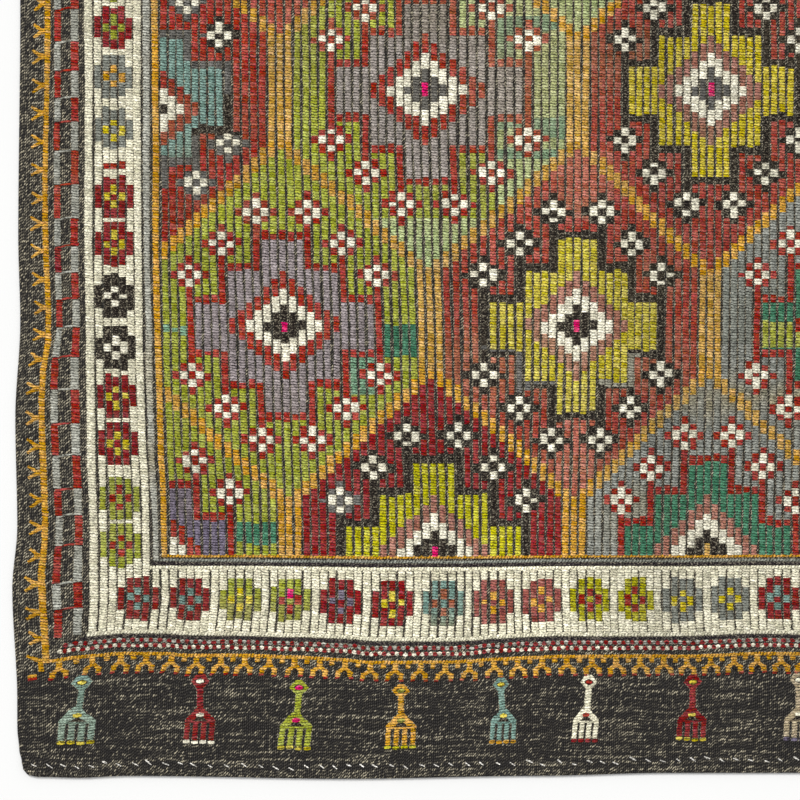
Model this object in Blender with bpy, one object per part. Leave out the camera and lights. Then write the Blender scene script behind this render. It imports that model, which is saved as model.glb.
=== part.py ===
"""Jajim rug: one flat-woven woollen panel, lying flat with its underside at z = 0.

The panel is one piece of cloth. Its ribs of wrapped yarn stand proud of the
ground cloth over the field and its borders, the two end panels and the two
selvedges are bare ground cloth, and each end is turned under once as a hem.
Units are metres, +Z is up, the length runs along +Y, and the origin is the
middle of the underside.

Run with: blender --background --python part.py
"""

import bmesh
import bpy
import numpy as np

# The weave, which sets the rug's size.
RIB_PITCH = 0.0085  # one rib of wrapped yarn and the gap beside it
BLOCK_HEIGHT = 0.00785  # four turns of yarn, one step of the pattern
FIELD_RIBS = 165  # across, between the side borders
FIELD_BLOCKS = 300  # along, between the end borders
SIDE_BORDER = 0.150  # selvedge to the middle of the field's first rib
END_BORDER = 0.223  # hem's fold to the field's first block
WIDTH = 2 * SIDE_BORDER + (FIELD_RIBS - 1) * RIB_PITCH
LENGTH = 2 * END_BORDER + FIELD_BLOCKS * BLOCK_HEIGHT

# Thicknesses of the cloth.
GROUND = 0.0024  # bare ground cloth
RIBBED = 0.0040  # ground cloth and the ribs on it
HEMMED = 0.0042  # ground cloth turned under once
EDGE_SHARE = 0.5  # how much of that is left at the very edge

# Widths of the bare parts, from the edge inwards.
EDGE_ROUND = 0.003
SELVEDGE = 0.012
HEM = 0.013
END_PANEL = 0.097
STEP = 0.002  # over which the thickness changes

STATION = 0.066  # longest spacing between cross-sections of the sheet

# How far each edge strays outwards from its straight line, in millimetres.
# Columns: place along the edge from the lower or left end, stray outwards.
LEFT_EDGE = (
    (0, -11), (2, -8), (6, -5), (14, -3.5), (26, -1), (49, 1), (80, 1), (191, 6),
    (250, 1), (359, 3), (455, -2), (540, 0), (767, -2), (1150, 2), (1500, 5),
    (1850, 1), (2250, -3), (2600, 3), (2765, 0), (2790, -3), (2797, -6), (2801, -10),
)
RIGHT_EDGE = (
    (0, -10), (3, -6), (14, -3), (36, -1), (300, -4), (700, 2), (1100, 4),
    (1600, -2), (2050, 1), (2500, 4), (2765, 0), (2792, -3), (2798, -6), (2801, -10),
)
LOWER_EDGE = (
    (0, -1.5), (8, 0), (60, 1), (110, -1), (332, 2), (518, -1), (650, -4),
    (782, -4), (1150, -2), (1480, 1), (1670, 0), (1686, 0), (1694, -1.5),
)
UPPER_EDGE = (
    (0, -1.5), (8, 0), (350, 3), (760, 1), (1120, -4), (1450, 0), (1674, 1),
    (1686, 1), (1694, -1),
)

WOOL_COLOUR = (0.042, 0.036, 0.033, 1.0)
WOOL_ROUGHNESS = 0.95


def clear_scene():
    for thing in list(bpy.data.objects):
        bpy.data.objects.remove(thing, do_unlink=True)


def stray(edge, places):
    """How far an edge strays at these places, eased from one row to the next."""
    along, out = np.array(edge, float).T * 0.001
    row = np.clip(np.searchsorted(along, places) - 1, 0, len(along) - 2)
    share = np.clip((places - along[row]) / (along[row + 1] - along[row]), 0, 1)
    ease = share * share * (3 - 2 * share)
    return out[row] + (out[row + 1] - out[row]) * ease


def near(distance, border):
    """1 at an edge, falling to 0 across its border, where the edge's stray ends."""
    return np.clip(1 - distance / border, 0, 1)


def lay_out(across, along):
    """Where a point of the straight panel lies on the uneven one."""
    x = across - stray(LEFT_EDGE, along) * near(across, SIDE_BORDER)
    x = x + stray(RIGHT_EDGE, along) * near(WIDTH - across, SIDE_BORDER)
    y = along - stray(LOWER_EDGE, across) * near(along, END_BORDER)
    y = y + stray(UPPER_EDGE, across) * near(LENGTH - along, END_BORDER)
    return x, y


def stations(length, by_the_edge):
    """Places of the cross-sections: those by an edge, mirrored, and even ones."""
    inner = length - 2 * by_the_edge[-1]
    count = int(np.ceil(inner / STATION))
    even = by_the_edge[-1] + inner * np.arange(1, count) / count
    first = np.array(by_the_edge)
    return np.concatenate([first, even, (length - first)[::-1]])


def thickness(across, along):
    """The cloth's thickness at each point of the straight panel."""
    side = np.minimum(across, WIDTH - across)
    end = np.minimum(along, LENGTH - along)
    ribs = np.minimum((side - SELVEDGE) / STEP, (end - END_PANEL) / STEP)
    cloth = GROUND + (RIBBED - GROUND) * np.clip(ribs, 0, 1)
    hem = np.clip((HEM + STEP - end) / STEP, 0, 1)
    cloth = cloth + (HEMMED - cloth) * hem
    inwards = np.clip(np.minimum(side, end) / EDGE_ROUND, 0, 1)
    return cloth * (EDGE_SHARE + (1 - EDGE_SHARE) * inwards)


def wool():
    material = bpy.data.materials.new("wool")
    material.use_nodes = True
    shader = material.node_tree.nodes["Principled BSDF"]
    shader.inputs["Base Color"].default_value = WOOL_COLOUR
    shader.inputs["Roughness"].default_value = WOOL_ROUGHNESS
    shader.inputs["Metallic"].default_value = 0.0
    return material


def woven_panel():
    """The rug: a grid of cross-sections with a flat underside, thickened upwards."""
    columns = stations(WIDTH, (0, EDGE_ROUND, SELVEDGE, SELVEDGE + STEP))
    rows = stations(
        LENGTH, (0, EDGE_ROUND, HEM, HEM + STEP, END_PANEL, END_PANEL + STEP)
    )
    panel = bmesh.new()
    bmesh.ops.create_grid(
        panel, x_segments=len(columns) - 1, y_segments=len(rows) - 1, size=0.5
    )
    flat = np.array([point.co for point in panel.verts]) + (0.5, 0.5, 0)
    across = columns[np.rint(flat[:, 0] * (len(columns) - 1)).astype(int)]
    along = rows[np.rint(flat[:, 1] * (len(rows) - 1)).astype(int)]
    x, y = lay_out(across, along)
    x -= (x.min() + x.max()) / 2
    y -= (y.min() + y.max()) / 2
    heights = {}
    for point, *place, height in zip(panel.verts, x, y, thickness(across, along)):
        point.co = (*place, 0)
        heights[tuple(point.co.xy)] = height

    raised = bmesh.ops.extrude_face_region(
        panel, geom=list(panel.faces), use_keep_orig=True
    )
    for point in raised["geom"]:
        if isinstance(point, bmesh.types.BMVert):
            point.co.z = heights[tuple(point.co.xy)]
    bmesh.ops.recalc_face_normals(panel, faces=panel.faces)

    mesh = bpy.data.meshes.new("jajim_rug")
    panel.to_mesh(mesh)
    panel.free()
    mesh.materials.append(wool())
    rug = bpy.data.objects.new("jajim_rug", mesh)
    bpy.context.scene.collection.objects.link(rug)
    return rug


clear_scene()
woven_panel()
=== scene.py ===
"""Looks of the jajim rug, laid flat on a pale floor.

A dark ground cloth carries ribs of wrapped yarn, plied lines, combs and hem
stitches. Everything is charted on a straight loom, in millimetres: u runs across
from the left selvedge, v runs along from the fold of the lower hem. Each finished
piece is then laid on the CAD model's box with the small strays of hand weaving.
"""

import bpy
import numpy as np
from bpy.props import FloatProperty, FloatVectorProperty, IntProperty, PointerProperty
from bpy.types import Operator, Panel, PropertyGroup
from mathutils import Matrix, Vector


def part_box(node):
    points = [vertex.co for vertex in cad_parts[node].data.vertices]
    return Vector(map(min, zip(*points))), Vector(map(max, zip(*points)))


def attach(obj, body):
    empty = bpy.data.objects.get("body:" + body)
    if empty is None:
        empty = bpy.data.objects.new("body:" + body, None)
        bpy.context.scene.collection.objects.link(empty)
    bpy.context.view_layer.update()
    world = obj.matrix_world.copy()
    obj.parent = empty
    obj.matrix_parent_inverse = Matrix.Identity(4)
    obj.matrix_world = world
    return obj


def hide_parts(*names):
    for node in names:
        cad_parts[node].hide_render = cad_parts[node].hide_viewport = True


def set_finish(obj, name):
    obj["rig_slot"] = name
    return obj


bl_info = {
    "name": "Jajim rug",
    "version": (1, 0, 0),
    "blender": (4, 5, 0),
    "location": "3D View > Sidebar > Jajim rug",
    "description": "Builds the cloth, ribs, borders and hems of a flat-woven jajim rug",
    "category": "Object",
}

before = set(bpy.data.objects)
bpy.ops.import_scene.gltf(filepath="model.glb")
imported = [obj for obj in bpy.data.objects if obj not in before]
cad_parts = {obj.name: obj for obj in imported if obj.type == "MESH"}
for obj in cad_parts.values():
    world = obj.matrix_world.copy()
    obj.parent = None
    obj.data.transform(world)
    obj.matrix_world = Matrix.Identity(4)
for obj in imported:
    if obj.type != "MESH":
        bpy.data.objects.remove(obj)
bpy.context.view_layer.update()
RUG = "jajim_rug"

# The loom, in millimetres, as in the part's source.
PITCH = 8.5  # from rib to rib of the field
BLOCK = 7.85  # height of a pattern's smallest block
TURN = BLOCK / 4  # one wrap of yarn round a rib
FIELD_RIBS = 165
SIDE = 150.0
END = 223.0
WIDTH = 2 * SIDE + (FIELD_RIBS - 1) * PITCH
LENGTH = 2 * END + 300 * BLOCK
# u of the side border's ribs: seven of white yarn, then the two guard ribs.
SIDE_PLACES = (70.6, 80.2, 88.6, 96.0, 104.2, 111.8, 119.6, 128.8, 138.0)
SIDE_RIBS = len(SIDE_PLACES)
COLUMNS = FIELD_RIBS + 2 * SIDE_RIBS  # ribs of the whole rug

# How far each edge strays outwards: place along the edge, stray.
LEFT_EDGE = (
    (0, -11), (2, -8), (6, -5), (14, -3.5), (26, -1), (49, 1), (80, 1), (191, 6),
    (250, 1), (359, 3), (455, -2), (540, 0), (767, -2), (1150, 2), (1500, 5),
    (1850, 1), (2250, -3), (2600, 3), (2765, 0), (2790, -3), (2797, -6), (2801, -10),
)
RIGHT_EDGE = (
    (0, -10), (3, -6), (14, -3), (36, -1), (300, -4), (700, 2), (1100, 4),
    (1600, -2), (2050, 1), (2500, 4), (2765, 0), (2792, -3), (2798, -6), (2801, -10),
)
LOWER_EDGE = (
    (0, -1.5), (8, 0), (60, 1), (110, -1), (332, 2), (518, -1), (650, -4),
    (782, -4), (1150, -2), (1480, 1), (1670, 0), (1686, 0), (1694, -1.5),
)
UPPER_EDGE = (
    (0, -1.5), (8, 0), (350, 3), (760, 1), (1120, -4), (1450, 0), (1674, 1),
    (1686, 1), (1694, -1),
)
# Strays inside the rug: the spacing of the warps, the pull of the lower left
# corner to the right, and the sag of the lines that close the borders.
RIB_DRIFT = (
    (0, -3), (6, -5), (15, -3), (30, -2), (42, 4), (50, 1), (60, -8), (75, -15),
    (100, -12), (130, -4), (164, 0),
)
CORNER_PULL = (
    (0, 0), (60, 5), (130, 9), (222, 9), (272, 6), (375, 6), (426, 5), (474, 0),
    (523, -4), (620, -4), (760, -4), (900, 0), (1694, 0),
)
PULL_SHARE = (
    (0, 0), (94, 0), (112, 0.35), (120, 0.4), (177, 1), (237, 0.95), (285, 0.8),
    (333, 0.5), (429, 0.2), (525, 0), (765, -0.1), (900, 0), (2801, 0),
)
LINE_SAG = (
    (0, -4), (32, -4), (60, 0), (78, 2), (100, 4), (144, 4), (166, 2), (210, 2),
    (276, 0), (320, -2), (352, -5), (430, -5), (452, -4), (474, -2), (518, 0),
    (540, 1), (672, 1), (694, 2), (738, 4), (900, 1), (1100, -3), (1400, 3), (1694, 0),
)
SAG_SHARE = (
    (0, 0), (60, 0.2), (105, 1), (125, 1), (140, 0.85), (221, 0.2), (350, 0), (2801, 0),
)
# Two more sideways pulls near the lower left corner: the field's, by u and with its
# share by v, and the side guard's, by v.
FIELD_PULL = (
    (0, 0), (110, 0), (250, -3.5), (407, -4.3), (480, -2), (540, 0), (1694, 0),
)
FIELD_SHARE = (
    (0, 0), (420, 0), (560, 0.5), (640, 1), (780, 1), (900, 0), (2801, 0),
)
GUARD_PULL = (
    (0, 0), (140, 0), (208, -2.4), (250, -1.4), (300, -2.4), (337, -3), (365, -4.2),
    (415, -4.2), (438, -0.5), (487, -0.3), (600, -1), (777, -1), (900, 0), (2801, 0),
)

# Heights above the floor, in millimetres.
GROUND_TOP = 2.4
HEM_TOP = 4.2
RIB_FOOT = 2.2  # a rib's sides go a little way into the ground cloth
RIB_RISE = 1.8
COMMON_HALF = 3.9  # half the width of a common rib
BROAD_HALF = 5.0  # past this, yarn work lies flatter
BROAD_RISE = 1.3

PLY = 2.3  # length of one twist of a plied line
HEM = 15.5  # from the fold to the foot of the slope at the hem's cut edge
HEM_SLOPE = 2.5

# How one cell of the field is coloured.
# Columns: field, cross, outline of cross and flowers, rim, heart, eye.
COLOURWAYS = {
    "meadow": ("leaf", "mauve", "madder", "madder", "black", "pink"),
    "dusk": ("leaf", "purple", "madder", "madder", "black", "pink"),
    "brick": ("brick", "mustard", "black", "rose", "black", "pink"),
    "moss": ("brick", "yellow", "black", "rose", "grey", "pink"),
    "slate": ("slate", "emerald", "madder", "rose", "black", "ochre"),
    "pine": ("slate", "emerald", "madder", "madder", "black", "ochre"),
    "teal": ("madder", "teal", "black", "madder", "black", "pink"),
    "sage": ("sage", "lavender", "madder", "madder", "grey", "pink"),
    "wine": ("wine", "lime", "black", "rose", "black", "pink"),
}
# The cells' colourways, row by row from the lower end, left to right.
CELLS = (
    ("dusk", "wine", "slate", "brick", "sage", "teal"),
    ("meadow", "brick", "pine", "wine", "meadow"),
    ("teal", "sage", "moss", "meadow", "slate", "wine"),
    ("brick", "sage", "teal", "brick", "pine"),
    ("sage", "meadow", "wine", "slate", "brick", "meadow"),
    ("brick", "teal", "meadow", "sage", "wine"),
    ("slate", "wine", "brick", "pine", "meadow", "teal"),
    ("meadow", "pine", "wine", "teal", "brick"),
    ("wine", "brick", "sage", "meadow", "slate", "brick"),
    ("teal", "meadow", "slate", "brick", "sage"),
    ("brick", "slate", "meadow", "wine", "teal", "meadow"),
)
ROW_PLACES = (226.5, 451.7, 687.0)  # v of the first rows of cells
ROW_LAST = 2574.5  # v of the last one
EVEN_ROW_RIB = -3  # rib in the middle of the first cell of row 0, 2, 4 and so on
ODD_ROW_RIB = 14
CELL_RIBS = 34  # from one cell's middle to the next one's
LATTICE = 2.0  # nearly as near to two cells, within this many blocks, is the lattice's line
# Where the weaver ran out of a yarn: ribs, v, the yarn meant and the one used.
PATCHES = (
    (26, 29, 419, 453, "leaf", "emerald"),
    (22, 24, 383, 419, "leaf", "mint"),
    (0, 2, 444, 452, "leaf", "mint"),
    (8, 12, 233, 255, "leaf", "emerald"),
    (71, 94, 430, 456, "emerald", "leaf"),
    (66, 72, 434, 515, "slate", "steel"),
    (73, 76, 480, 500, "slate", "steel"),
    (51, 56, 391, 424, "black", "slate"),
    (46, 50, 284, 362, "brick", "coral"),
    (46, 52, 560, 625, "brick", "coral"),
    (39, 45, 748, 762, "sage", "mint"),
    (39, 40, 715, 748, "sage", "mint"),
    (14, 31, 560, 800, "sage", "leaf"),
    (32, 38, 560, 625, "sage", "leaf"),
    (39, 46, 650, 659, "sage", "mint"),
    (43, 46, 640, 650, "sage", "mint"),
    (39, 45, 617, 627, "sage", "mint"),
    (0, 1, 325, 372, "white", "leaf"),
    (0, 1, 325, 372, "madder", "leaf"),
    (0, 2, 540, 588, "white", "madder"),
    (0, 2, 540, 588, "black", "madder"),
    (37, 41, 425, 432, "black", "grey"),
    (41, 42, 386, 432, "black", "grey"),
    (43, 46, 392, 401, "black", "grey"),
    (18, 22, 262, 299, "black", "grey"),
    (0, 13, 560, 641, "black", "grey"),
    (0, 5, 681, 790, "black", "grey"),
    (6, 13, 681, 716, "black", "grey"),
    (46, 50, 395, 445, "honey", "ochre"),
    (0, 164, 222, 330, "honey", "ochre"),
    (51, 75, 290, 400, "ochre", "honey"),
)
# Medallions that the weaver set off their cell's middle, by row and place: ribs and v
# of the medallion and of the diamond in it, ribs by which the upper arm leans, and
# blocks by which the lower half is longer and the upper flowers sit higher.
EVEN = (0, 0.0, 0, 0.0, 0, 0.0, 0.0)
SLIPS = {
    (0, 0): (-1, 7.5, 0, -0.5, 0, 0.0, 0.0),
    (2, 0): (0, -2.6, 1, -19.0, -1, 1.25, 1.0),
}
FLOWER = ("..d..", ".dwd.", "dwdwd", ".dwd.", "..d..")

# Rosettes of the white border from the lower left corner: main yarn, accent, and another
# accent where a rosette has two. Along the side, v comes first.
END_ROSETTES = (
    ("wine", "teal"), ("wine", "teal"), ("leaf", "yellow"), ("leaf", "pink", "madder"),
    ("wine", "purple"), ("wine", "yellow"), ("teal", "madder"), ("blush", "ochre"),
    ("blush", "ochre"), ("lime", "madder"), ("lime", "madder"),
    ("steel", "yellow"), ("steel", "yellow"), ("wine", "teal"),
)
SIDE_ROSETTES = (
    (231, "leaf", "madder"), (279, "leaf", "madder"), (333, "wine", "yellow"),
    (381, "wine", "yellow"), (430, "black", "white"), (480, "black", "white"),
    (534, "wine", "yellow"), (580, "wine", "yellow"), (648, "steel", "yellow"),
    (700, "steel", "ochre"), (749, "wine", "leaf"),
)
# Combs of the end panels: u and v of the head, breadth, how far the foot leans, and the
# yarns of body, dots and tips.
COMBS = (
    (64, 94, 0.93, -4.6, "teal", "yellow", "yellow"),
    (182, 94, 0.77, 0, "wine", "white", "white"),
    (281, 89.5, 0.82, -3, "leaf", "pink", "mustard"),
    (383, 90, 0.78, 0, "ochre", "olive", "lime"),
    (483, 94, 0.66, 2.5, "teal", "yellow", "ochre"),
    (571, 94, 0.65, -3, "ivory", "madder", "wine"),
    (675, 94, 0.74, -1, "wine", "yellow", "yellow"),
    (781, 94, 0.74, 0, "sand", "ivory", "purple"),
)
COMB_REPEAT = 815.0  # u from a comb to the next one like it
SIDE_REPEAT = 567.0  # v from a side rosette to the next one like it
ROSETTE_ROW = 176.0  # v of the end border's rosettes
ROSETTES_END = 232.0  # the side border's rosettes stop this far from the far end
MARK_PLACE = 612.5  # v of three red blocks between two side rosettes
BORDER_END = 207.0  # v where the white border ends
FIELD_START = 222.0  # v where the field starts, past the plied lines
# The guard ribs beside the field: place in the chart, yarn, and v that they start from.
GUARD_RIBS = ((SIDE_RIBS - 2, "bluegrey", 215.0), (SIDE_RIBS - 1, "ochre", 218.6))
# u and v of the view's middle, in the lower left corner.
VIEW_U = 382.0
VIEW_V = 377.0
FLOOR_GAP = 0.0004  # metres from the rug down to the floor


def linear(sheet_colour):
    """Linear red, green and blue of an sRGB hex colour."""
    parts = [int(sheet_colour[i : i + 2], 16) / 255 for i in (1, 3, 5)]
    return [p / 12.92 if p <= 0.04045 else ((p + 0.055) / 1.055) ** 2.4 for p in parts]


def shade(name, description, sheet_colour):
    """A colour that a user can change."""
    return FloatVectorProperty(
        name=name,
        description=description,
        default=linear(sheet_colour),
        size=3,
        min=0,
        max=1,
        subtype="COLOR",
    )


def length(name, description, metres, low, high):
    """A size that a user can change."""
    return FloatProperty(
        name=name,
        description=description,
        default=metres,
        min=low,
        max=high,
        subtype="DISTANCE",
        unit="LENGTH",
    )


class YarnColours(PropertyGroup):
    """The dyed and undyed yarns."""

    ivory: shade("Ivory", "Undyed wool of the borders", "#f2eccf")
    white: shade("White", "Undyed wool of the diamonds and flowers", "#f6f0d8")
    black: shade("Black", "Dark undyed wool of outlines, hearts and hollows", "#2b2420")
    grey: shade("Grey", "Grey undyed wool of some hearts", "#706e69")
    night: shade("Night", "Purple-black plied lines of the end bands", "#322b30")
    pink: shade("Pink", "Bright yarn of the eyes and some dots", "#ee1272")
    madder: shade("Madder red", "Outlines, rims, broken bars and hook tips", "#ac3b31")
    wine: shade("Wine red", "Deepest red, of rosettes, combs and beads", "#972d2d")
    rose: shade("Rose", "Faded red-brown of the rims", "#b27a6a")
    brick: shade("Brick", "Red-brown field", "#b04d41")
    leaf: shade("Leaf green", "Green field", "#a9b042")
    lime: shade("Lime", "Sharp yellow-green of crosses and rosettes", "#bfb920")
    mustard: shade("Mustard", "Yellow-green cross", "#cfc044")
    olive: shade("Olive", "Dull green dots of a comb", "#9f9c40")
    sage: shade("Sage", "Grey-green field", "#b0c086")
    emerald: shade("Emerald", "Blue-green cross", "#4b8668")
    mint: shade("Mint", "Pale green patches", "#7da98a")
    teal: shade("Teal", "Blue-green of crosses and combs", "#80a298")
    mauve: shade("Mauve", "Grey-violet cross", "#a09596")
    lavender: shade("Lavender", "Pale grey-violet cross", "#a39a93")
    purple: shade("Purple", "Blue-violet cross and accents", "#776e82")
    slate: shade("Slate", "Pale grey field", "#989b94")
    steel: shade("Steel", "Blue-grey lines, rosettes and lengths of the slate field", "#909389")
    bluegrey: shade("Blue-grey", "Guard rib of the field", "#bcbcb0")
    smoke: shade("Smoke", "Cool grey of the broken bars", "#b2b2a6")
    ochre: shade("Ochre", "Guards, lines, hooks and the lattice", "#dda540")
    honey: shade("Honey", "Paler ochre of the upright lattice lines", "#dbac57")
    coral: shade("Coral", "Faded lengths in the brick field", "#bd6d5b")
    blush: shade("Blush", "Dusty red rosettes", "#a55a54")
    sand: shade("Sand", "Pale brown of some combs", "#cdbb9b")
    yellow: shade("Yellow", "Accents", "#dcc83f")
    thread: shade("Hem thread", "White sewing thread", "#f6f2e8")
    ground: shade("Ground", "Dark ground cloth", "#2c2a29")
    fleck: shade("Fleck", "Pale fibres spun into the ground", "#cbc1a7")
    dust: shade("Fading", "Colour that sun and age pull each dye towards", "#b2a276")


YARN_NAMES = tuple(YarnColours.__annotations__)
NUMBER = {name: number for number, name in enumerate(YARN_NAMES)}
NONE = -1  # no yarn: the ground shows


class WeaveSizes(PropertyGroup):
    """Sizes of the yarn work."""

    rib_half: length("Rib half width", "Half the width of a wrapped rib", 0.0039, 0.001, 0.0045)
    white_half: length("White rib half width", "The same in thicker undyed yarn", 0.0043, 0.001, 0.005)
    arch_sides: IntProperty(
        name="Arch sides",
        description="Flat faces round the arch of a rib",
        default=4,
        min=2,
        max=12,
    )
    strips: IntProperty(
        name="Strips",
        description="Pieces that the ribs are divided into, side by side",
        default=16,
        min=1,
        max=40,
    )
    fading: FloatProperty(
        name="Fading",
        description="How strongly the dye lots differ along the rug",
        default=0.35,
        min=0,
        max=1,
        subtype="FACTOR",
    )


class StudioSettings(PropertyGroup):
    """Floor, light and camera."""

    floor: shade("Floor", "Pale studio floor", "#fbfbfa")
    lens: FloatProperty(
        name="Lens",
        description="Focal length of the overhead camera in millimetres",
        default=200.0,
        min=20,
    )
    view_width: length("View width", "Width of the rug that the camera takes in", 0.8, 0.1, 10.0)
    sun_strength: FloatProperty(
        name="Key light", description="Strength of the soft key light", default=2.0, min=0
    )
    sky_strength: FloatProperty(
        name="Fill light", description="Strength of the even fill light", default=0.54, min=0
    )


# ---------------------------------------------------------------- the loom


def eased(table, places):
    """Values of a table at these places, eased from row to row."""
    at, value = np.array(table, float).T
    row = np.clip(np.searchsorted(at, places) - 1, 0, len(at) - 2)
    share = np.clip((places - at[row]) / (at[row + 1] - at[row]), 0, 1)
    ease = share * share * (3 - 2 * share)
    return value[row] + (value[row + 1] - value[row]) * ease


def near(distance, start, reach):
    """1 up to start from an edge, falling to 0 over reach."""
    return np.clip(1 - (distance - start) / reach, 0, 1)


def strayed(u, v):
    """Where a place on the straight loom lies on the uneven rug.

    The strays of the edges, and of the left side guard, fade out within 70 mm.
    """
    x = u - eased(LEFT_EDGE, v) * near(u, 20, 50)
    x = x + eased(RIGHT_EDGE, v) * near(WIDTH - u, 20, 50)
    x = x + eased(CORNER_PULL, u) * eased(PULL_SHARE, v)
    x = x + eased(FIELD_PULL, u) * eased(FIELD_SHARE, v)
    x = x + eased(GUARD_PULL, v) * near(u, 40, 28) * np.clip(u / 12, 0, 1)
    y = v - eased(LOWER_EDGE, u) * near(v, 10, 60)
    y = y + eased(UPPER_EDGE, u) * near(LENGTH - v, 10, 60)
    y = y + eased(LINE_SAG, u) * eased(SAG_SHARE, v)
    y = y - eased(LINE_SAG, WIDTH - u) * eased(SAG_SHARE, LENGTH - v)
    return x, y


def outline():
    """Points along the four edges of the straight loom."""
    u = np.linspace(0, WIDTH, 1200)
    v = np.linspace(0, LENGTH, 2000)
    across = np.concatenate([u, u, 0 * v, 0 * v + WIDTH])
    along = np.concatenate([0 * u, 0 * u + LENGTH, v, v])
    return across, along


def centring():
    """What to add to a strayed place, in millimetres, to put the rug on the CAD box."""
    x, y = strayed(*outline())
    low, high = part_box(RUG)
    middle = [(low[i] + high[i]) * 500 for i in (0, 1)]
    return middle[0] - (x.min() + x.max()) / 2, middle[1] - (y.min() + y.max()) / 2


CENTRE_U, CENTRE_V = centring()


def laid(u, v, z):
    """Finished positions in metres of places on the loom, given in millimetres."""
    x, y = strayed(u, v)
    return np.stack([x + CENTRE_U, y + CENTRE_V, z], axis=1) * 0.001


def rib_place(rib):
    """u of a rib's middle; ribs below 0 and above the field are the side borders'."""
    if rib < 0:
        return SIDE_PLACES[rib + SIDE_RIBS]
    if rib >= FIELD_RIBS:
        return WIDTH - SIDE_PLACES[SIDE_RIBS - 1 - (rib - FIELD_RIBS)]
    return SIDE + PITCH * rib + float(eased(RIB_DRIFT, np.array([rib]))[0])


# ---------------------------------------------------------------- yarn


class Skein:
    """Lengths of yarn gathered for one piece, on the loom.

    Each has a row for each of its points: u, v, half width, three of colour, twist, lift.
    """

    def __init__(self, seed, dyer):
        self.random = np.random.default_rng(seed)
        self.dyer = dyer
        self.turned = False  # True while the far end or the right side is worked
        self.lengths = []

    def add(self, path, half, colour, twist=0.0, lift=0.0):
        """One length of yarn. twist is 0 where it is wrapped row by row, 1 where it is plied."""
        rows = np.empty((len(path), 8))
        rows[:, 0:2] = path
        rows[:, 2] = half
        rows[:, 3:6] = colour
        rows[:, 6] = twist
        rows[:, 7] = lift
        self.lengths.append(rows)

    def stroke(self, name, points, width, twist=0.0, lift=0.0):
        """A line of this yarn through these points, as wide as given at each."""
        path = np.array(points, float)
        if self.turned:
            path = (WIDTH, LENGTH) - path
        colour = self.dyer.dye(name, path[:, 0], path[:, 1]) * (1 + self.random.normal(0, 0.04))
        self.add(path, np.array(width) / 2, colour, twist, lift)

    def block(self, name, middle, width, low, high, lift=0.0):
        """An upright block of wrapped yarn."""
        u = middle + self.random.normal(0, 0.25)
        self.stroke(name, [(u, low), (u, high)], width, lift=lift)

    def mesh(self, name):
        """The lengths as a mesh of edges, in metres, with what the ribs need as attributes."""
        counts = [len(rows) for rows in self.lengths]
        rows = np.concatenate(self.lengths)
        last = np.cumsum(counts) - 1
        edge = np.setdiff1d(np.arange(len(rows)), last, assume_unique=True)
        step = np.hypot(*np.diff(rows[:, :2], axis=0).T)
        step[last[:-1]] = 0
        mesh = bpy.data.meshes.new(name)
        mesh.vertices.add(len(rows))
        mesh.edges.add(len(edge))
        mesh.vertices.foreach_set("co", np.pad(rows[:, :2] * 0.001, ((0, 0), (0, 1))).ravel())
        mesh.edges.foreach_set("vertices", np.stack([edge, edge + 1], axis=1).ravel())
        put(mesh, "half_width", "FLOAT", rows[:, 2] * 0.001)
        put(mesh, "twist", "FLOAT", rows[:, 6])
        put(mesh, "lift", "FLOAT", rows[:, 7])
        put(mesh, "along", "FLOAT", np.concatenate([[0], np.cumsum(step)]))
        put(mesh, "strand", "FLOAT", np.repeat(self.random.random(len(counts)), counts))
        colours = np.pad(rows[:, 3:6], ((0, 0), (0, 1)), constant_values=1)
        put(mesh, "yarn", "FLOAT_COLOR", colours)
        return mesh


ATTRIBUTE_FIELDS = {"FLOAT": "value", "FLOAT_VECTOR": "vector", "FLOAT_COLOR": "color"}


def put(mesh, name, kind, values):
    """Writes an attribute of the mesh's points."""
    attribute = mesh.attributes.new(name, kind, "POINT")
    flat = np.ascontiguousarray(values, dtype=np.float32).ravel()
    attribute.data.foreach_set(ATTRIBUTE_FIELDS[kind], flat)


def take(mesh, name):
    """Reads a number of each of the mesh's points."""
    values = np.zeros(len(mesh.vertices), np.float32)
    mesh.attributes[name].data.foreach_get("value", values)
    return values


def node(tree, kind, *values, **given):
    """Adds a node. Values fill its sockets in order, or by name with _ for a space.

    A name all in small letters is one of the node's own settings, and is set first.
    A node given as a value stands for its first output in use.
    """
    made = tree.nodes.new(kind)
    for name in [name for name in given if name.islower()]:
        setattr(made, name, given.pop(name))
    filled = list(zip(made.inputs, values))
    filled += [(made.inputs[name.replace("_", " ")], value) for name, value in given.items()]
    for socket, value in filled:
        if isinstance(value, bpy.types.Node):
            value = next(output for output in value.outputs if not output.is_unavailable)
        if isinstance(value, bpy.types.NodeSocket):
            tree.links.new(value, socket)
        else:
            socket.default_value = value
    return made


# Kinds of node, and settings, that are used again and again.
MATH = "ShaderNodeMath"
RANGE = "ShaderNodeMapRange"
NOISE = "ShaderNodeTexNoise"
CHANCE = "ShaderNodeTexWhiteNoise"
ATTRIBUTE = "ShaderNodeAttribute"
JOIN = "ShaderNodeCombineXYZ"
PARTS = "ShaderNodeSeparateXYZ"
MIX = "ShaderNodeMix"
SMOOTH = {"interpolation_type": "SMOOTHSTEP"}
TIMES = {"operation": "MULTIPLY"}
TIMES_ADD = {"operation": "MULTIPLY_ADD"}
MINUS = {"operation": "SUBTRACT"}


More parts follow.
